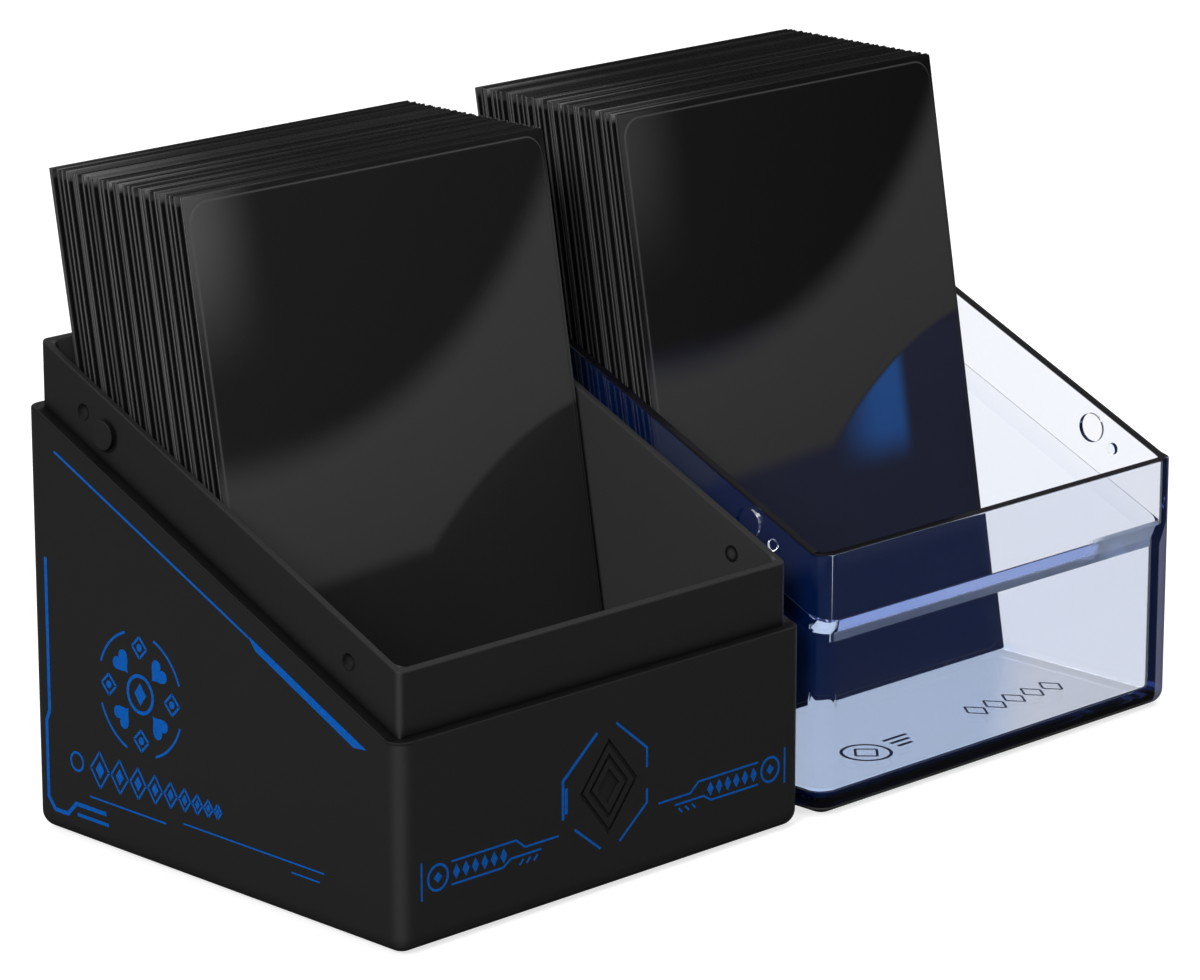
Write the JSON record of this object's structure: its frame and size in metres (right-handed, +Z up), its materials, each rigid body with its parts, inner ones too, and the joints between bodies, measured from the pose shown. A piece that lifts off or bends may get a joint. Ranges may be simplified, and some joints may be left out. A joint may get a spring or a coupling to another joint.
{
  "type": "two-part card box",
  "caption": "Card box opened into two slant-mouthed trays, a black stepped base and a clear blue lid, each holding a leaning stack of sleeved cards.",
  "frame": {"origin": "middle of the underside of the base tray", "axes": "+X from the base tray to the lid tray beside it, +Y from the low front to the high back, +Z up"},
  "size_m": [0.1553, 0.0765, 0.0923],
  "materials": {
    "tray_black": "fine satin moulded plastic",
    "lid_blue": "clear blue polished plastic",
    "sleeve_black": "satin black card sleeve film",
    "card_stock": "black card face seen through the sleeve"
  },
  "bodies": {
    "base": {"base_shell": "tray_black"},
    "base_cards": {"base_sleeved_pair_01": "sleeve_black", "base_sleeved_pair_02": "sleeve_black", "base_sleeved_pair_03": "sleeve_black", "base_sleeved_pair_04": "sleeve_black", "base_sleeved_pair_05": "sleeve_black", "base_sleeved_pair_06": "sleeve_black", "base_sleeved_pair_07": "sleeve_black", "base_sleeved_pair_08": "sleeve_black", "base_sleeved_pair_09": "sleeve_black", "base_sleeved_pair_10": "sleeve_black", "base_sleeved_pair_11": "sleeve_black", "base_sleeved_pair_12": "sleeve_black", "base_sleeved_pair_13": "sleeve_black", "base_sleeved_pair_14": "sleeve_black", "base_sleeved_pair_15": "sleeve_black", "base_sleeved_pair_16": "sleeve_black", "base_sleeved_pair_17": "sleeve_black", "base_sleeved_pair_18": "sleeve_black", "base_sleeved_pair_19": "sleeve_black", "base_sleeved_pair_20": "sleeve_black", "base_sleeved_pair_21": "sleeve_black"},
    "base_front": {"base_front_sleeve": "sleeve_black", "base_front_card": "card_stock"},
    "lid": {"lid_shell": "lid_blue"},
    "lid_cards": {"lid_sleeved_pair_01": "sleeve_black", "lid_sleeved_pair_02": "sleeve_black", "lid_sleeved_pair_03": "sleeve_black", "lid_sleeved_pair_04": "sleeve_black", "lid_sleeved_pair_05": "sleeve_black", "lid_sleeved_pair_06": "sleeve_black", "lid_sleeved_pair_07": "sleeve_black", "lid_sleeved_pair_08": "sleeve_black", "lid_sleeved_pair_09": "sleeve_black", "lid_sleeved_pair_10": "sleeve_black", "lid_sleeved_pair_11": "sleeve_black", "lid_sleeved_pair_12": "sleeve_black", "lid_sleeved_pair_13": "sleeve_black", "lid_sleeved_pair_14": "sleeve_black", "lid_sleeved_pair_15": "sleeve_black", "lid_sleeved_pair_16": "sleeve_black", "lid_sleeved_pair_17": "sleeve_black", "lid_sleeved_pair_18": "sleeve_black", "lid_sleeved_pair_19": "sleeve_black", "lid_sleeved_pair_20": "sleeve_black", "lid_sleeved_pair_21": "sleeve_black", "lid_sleeved_pair_22": "sleeve_black"},
    "lid_front": {"lid_front_sleeve": "sleeve_black", "lid_front_card": "card_stock"}
  },
  "joints": [
    {"name": "lid_lift", "type": "slide", "parent": "base", "child": "lid", "axis": [0, 0, 1], "range_m": [0, 0.1]},
    {"name": "base_cards_lift", "type": "slide", "parent": "base", "child": "base_cards", "axis": [0, 0.1736, 0.9848], "range_m": [0, 0.095]},
    {"name": "base_front_tip", "type": "hinge", "parent": "base_cards", "child": "base_front", "pos_m": [0.0012, -0.00569, 0.00271], "axis": [1, 0, 0], "range_deg": [0, 48]},
    {"name": "lid_cards_lift", "type": "slide", "parent": "lid", "child": "lid_cards", "axis": [0, 0.1736, 0.9848], "range_m": [0, 0.095]},
    {"name": "lid_front_tip", "type": "hinge", "parent": "lid_cards", "child": "lid_front", "pos_m": [0.08095, -0.00698, 0.00271], "axis": [1, 0, 0], "range_deg": [0, 48]}
  ]
}
